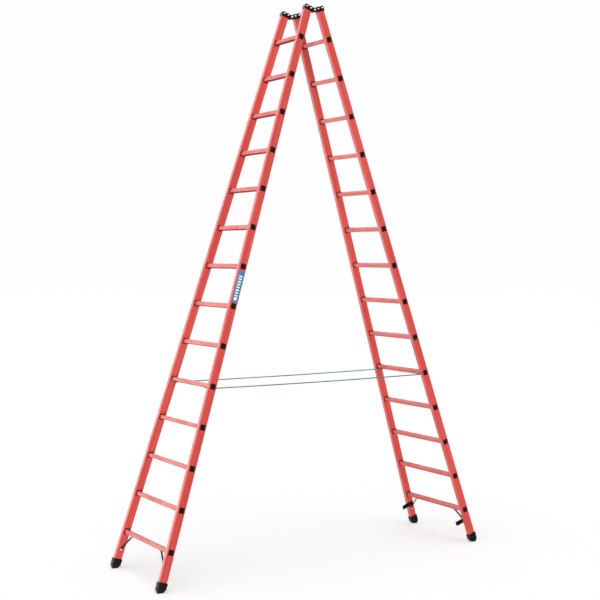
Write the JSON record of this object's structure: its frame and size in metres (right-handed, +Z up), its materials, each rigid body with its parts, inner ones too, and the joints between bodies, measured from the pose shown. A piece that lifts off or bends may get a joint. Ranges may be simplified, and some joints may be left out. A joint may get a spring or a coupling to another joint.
{
  "type": "double-sided rung stepladder",
  "caption": "A-frame glass-fibre rung ladder with two hinged halves, flared square-capped stiles, spread straps, corner braces and rubber feet.",
  "frame": {"origin": "on the floor, midway between the four feet, straight below the hinge axis", "axes": "+X across the two halves towards the half with the closing guides, +Y along the rungs, +Z up"},
  "size_m": [2.7, 0.7714, 3.9496],
  "materials": {
    "stile_grp": "pultruded glass-fibre reinforced polyester, red, satin",
    "rung_grp": "pultruded glass-fibre reinforced polyester, red, grooved",
    "cap_plastic": "moulded black nylon",
    "collar_plastic": "moulded black nylon",
    "leaf_metal": "cast aluminium, black powder coat",
    "bolt_steel": "bright zinc-plated steel",
    "foot_rubber": "moulded black rubber",
    "brace_steel": "galvanised flat steel, weathered dark",
    "guide_metal": "flat steel, black powder coat",
    "clamp_metal": "pressed steel, black",
    "strap_webbing": "woven polyester webbing, teal"
  },
  "bodies": {
    "left_half": {"stile_left_near": "stile_grp", "stile_left_far": "stile_grp", "rung_left_1": "rung_grp", "rung_left_2": "rung_grp", "rung_left_3": "rung_grp", "rung_left_4": "rung_grp", "rung_left_5": "rung_grp", "rung_left_6": "rung_grp", "rung_left_7": "rung_grp", "rung_left_8": "rung_grp", "rung_left_9": "rung_grp", "rung_left_10": "rung_grp", "rung_left_11": "rung_grp", "rung_left_12": "rung_grp", "rung_left_13": "rung_grp", "rung_left_14": "rung_grp", "rung_caps_left": "cap_plastic", "rung_collars_left": "collar_plastic", "hinge_leaf_left_near": "leaf_metal", "hinge_leaf_left_far": "leaf_metal", "pivot_bolts": "bolt_steel", "pivot_nuts": "bolt_steel", "fixing_bolts_left": "bolt_steel", "foot_left_near": "foot_rubber", "foot_left_far": "foot_rubber", "brace_left_near": "brace_steel", "brace_left_far": "brace_steel", "strap_clamps_left": "clamp_metal"},
    "right_half": {"stile_right_near": "stile_grp", "stile_right_far": "stile_grp", "rung_right_1": "rung_grp", "rung_right_2": "rung_grp", "rung_right_3": "rung_grp", "rung_right_4": "rung_grp", "rung_right_5": "rung_grp", "rung_right_6": "rung_grp", "rung_right_7": "rung_grp", "rung_right_8": "rung_grp", "rung_right_9": "rung_grp", "rung_right_10": "rung_grp", "rung_right_11": "rung_grp", "rung_right_12": "rung_grp", "rung_right_13": "rung_grp", "rung_right_14": "rung_grp", "rung_caps_right": "cap_plastic", "rung_collars_right": "collar_plastic", "hinge_leaf_right_near": "leaf_metal", "hinge_leaf_right_far": "leaf_metal", "fixing_bolts_right": "bolt_steel", "foot_right_near": "foot_rubber", "foot_right_far": "foot_rubber", "brace_right_near": "brace_steel", "brace_right_far": "brace_steel", "closing_guide_near": "guide_metal", "closing_guide_far": "guide_metal", "strap_clamps_right": "clamp_metal"},
    "straps_left_run": {"strap_left_run_near": "strap_webbing", "strap_left_run_far": "strap_webbing"},
    "straps_right_run": {"strap_right_run_near": "strap_webbing", "strap_right_run_far": "strap_webbing"}
  },
  "joints": [
    {"name": "fold", "type": "hinge", "parent": "left_half", "child": "right_half", "pos_m": [0, 0, 3.91352], "axis": [0, 1, 0], "range_deg": [0, 36]},
    {"name": "straps_swing", "type": "hinge", "parent": "left_half", "child": "straps_left_run", "pos_m": [-0.884, 0, 1.301], "axis": [0, 1, 0], "range_deg": [0, 106], "deforming": ["strap_left_run_near", "strap_left_run_far"]},
    {"name": "straps_fold", "type": "hinge", "parent": "straps_left_run", "child": "straps_right_run", "pos_m": [0, 0, 1.296], "axis": [0, 1, 0], "range_deg": [-175.5, 0], "deforming": ["strap_right_run_near", "strap_right_run_far"]}
  ],
  "couplings": [
    {"joint": "straps_swing", "follows": "fold", "ratio": 2.9308},
    {"joint": "straps_fold", "follows": "fold", "ratio": -4.8616}
  ]
}
